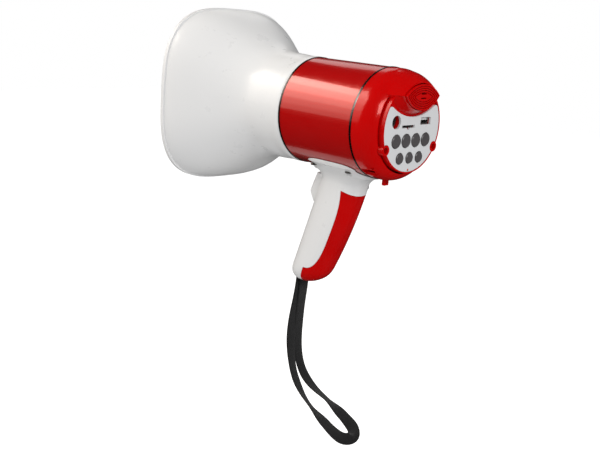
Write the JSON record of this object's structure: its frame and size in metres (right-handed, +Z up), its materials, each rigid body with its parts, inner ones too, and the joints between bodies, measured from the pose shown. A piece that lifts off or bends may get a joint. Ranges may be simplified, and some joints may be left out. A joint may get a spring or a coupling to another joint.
{
  "type": "handheld megaphone",
  "caption": "Handheld megaphone: a folded horn with a microphone, push buttons and sockets on its back panel, a pistol grip with a trigger and a wrist strap.",
  "frame": {"origin": "centre of the handle's grip, in its plane of symmetry", "axes": "+Z up towards the horn, -Y towards the horn's mouth, +Y towards the control panel, +X towards the left hand side seen from behind"},
  "size_m": [0.147, 0.2126, 0.3365],
  "materials": {
    "white_plastic": "gloss white",
    "red_plastic": "gloss red",
    "band_red": "deep metallic red lacquer",
    "ring_metal": "dark bright plating",
    "inner_plastic": "black moulding",
    "panel_grey": "satin light grey",
    "button_grey": "gloss dark grey",
    "black_plastic": "black",
    "soft_rubber": "matt black",
    "screw_steel": "nickel plated",
    "zinc_steel": "zinc plated",
    "ferrite": "dark grey ferrite",
    "clear_film": "amber film",
    "copper": "enamelled copper wire",
    "capsule_metal": "satin can with felt",
    "led_lens": "milky lens",
    "board_green": "solder mask",
    "cell_sleeve": "shrink sleeve",
    "webbing": "black woven tape"
  },
  "bodies": {
    "housing": {"horn": "white_plastic", "driver_mount": "inner_plastic", "horn_reflector": "white_plastic", "throat_tube": "white_plastic", "body_band": "band_red", "body_barrel": "inner_plastic", "front_trim_ring": "ring_metal", "rear_trim_ring": "ring_metal", "driver_gasket": "soft_rubber", "driver_frame": "inner_plastic", "driver_screws": "screw_steel", "driver_top_plate": "zinc_steel", "driver_magnet": "ferrite", "driver_back_plate": "zinc_steel", "rear_cap": "red_plastic", "rear_cover": "red_plastic", "mic_head": "red_plastic", "mic_capsule": "capsule_metal", "mic_boot": "soft_rubber", "control_panel": "panel_grey", "dc_jack": "black_plastic", "dc_pin": "screw_steel", "usb_shell": "zinc_steel", "card_socket": "zinc_steel", "usb_tongue": "white_plastic", "status_led": "led_lens", "main_board": "board_green", "tact_switches": "black_plastic", "board_components": "black_plastic", "cover_screws": "screw_steel", "handle_left": "white_plastic", "handle_right": "white_plastic", "handle_screws": "screw_steel", "saddle_screws": "screw_steel", "battery_cell": "cell_sleeve", "battery_tabs": "zinc_steel", "trigger_pin": "screw_steel", "trigger_spring": "screw_steel", "trigger_switch": "black_plastic", "strap_bar": "screw_steel", "wrist_strap": "webbing"},
    "trigger": {"trigger": "white_plastic"},
    "battery_cover": {"battery_cover": "red_plastic"},
    "diaphragm": {"diaphragm": "clear_film", "voice_coil": "copper"},
    "button_large_1": {"button_large_1": "button_grey"},
    "button_large_2": {"button_large_2": "button_grey"},
    "button_large_3": {"button_large_3": "button_grey"},
    "button_large_4": {"button_large_4": "button_grey"},
    "button_small_1": {"button_small_1": "button_grey"},
    "button_small_2": {"button_small_2": "button_grey"},
    "button_small_3": {"button_small_3": "button_grey"}
  },
  "joints": [
    {"name": "trigger_pull", "type": "hinge", "parent": "housing", "child": "trigger", "pos_m": [0, 0.0005, 0.048], "axis": [1, 0, 0], "range_deg": [0, 8], "stiffness_Nm_per_rad": 0.9, "springref_deg": -6.88},
    {"name": "battery_cover_slide", "type": "slide", "parent": "housing", "child": "battery_cover", "axis": [0, 0.9397, -0.342], "range_m": [0, 0.03]},
    {"name": "diaphragm_travel", "type": "slide", "parent": "housing", "child": "diaphragm", "axis": [0, 1, 0], "range_m": [-0.0004, 0.0004], "stiffness_N_per_m": 4000},
    {"name": "button_large_1_press", "type": "slide", "parent": "housing", "child": "button_large_1", "axis": [0, -1, 0], "range_m": [0, 0.0008], "stiffness_N_per_m": 2500, "springref_m": -0.0003},
    {"name": "button_large_2_press", "type": "slide", "parent": "housing", "child": "button_large_2", "axis": [0, -1, 0], "range_m": [0, 0.0008], "stiffness_N_per_m": 2500, "springref_m": -0.0003},
    {"name": "button_large_3_press", "type": "slide", "parent": "housing", "child": "button_large_3", "axis": [0, -1, 0], "range_m": [0, 0.0008], "stiffness_N_per_m": 2500, "springref_m": -0.0003},
    {"name": "button_large_4_press", "type": "slide", "parent": "housing", "child": "button_large_4", "axis": [0, -1, 0], "range_m": [0, 0.0008], "stiffness_N_per_m": 2500, "springref_m": -0.0003},
    {"name": "button_small_1_press", "type": "slide", "parent": "housing", "child": "button_small_1", "axis": [0, -1, 0], "range_m": [0, 0.0008], "stiffness_N_per_m": 2500, "springref_m": -0.0003},
    {"name": "button_small_2_press", "type": "slide", "parent": "housing", "child": "button_small_2", "axis": [0, -1, 0], "range_m": [0, 0.0008], "stiffness_N_per_m": 2500, "springref_m": -0.0003},
    {"name": "button_small_3_press", "type": "slide", "parent": "housing", "child": "button_small_3", "axis": [0, -1, 0], "range_m": [0, 0.0008], "stiffness_N_per_m": 2500, "springref_m": -0.0003}
  ]
}
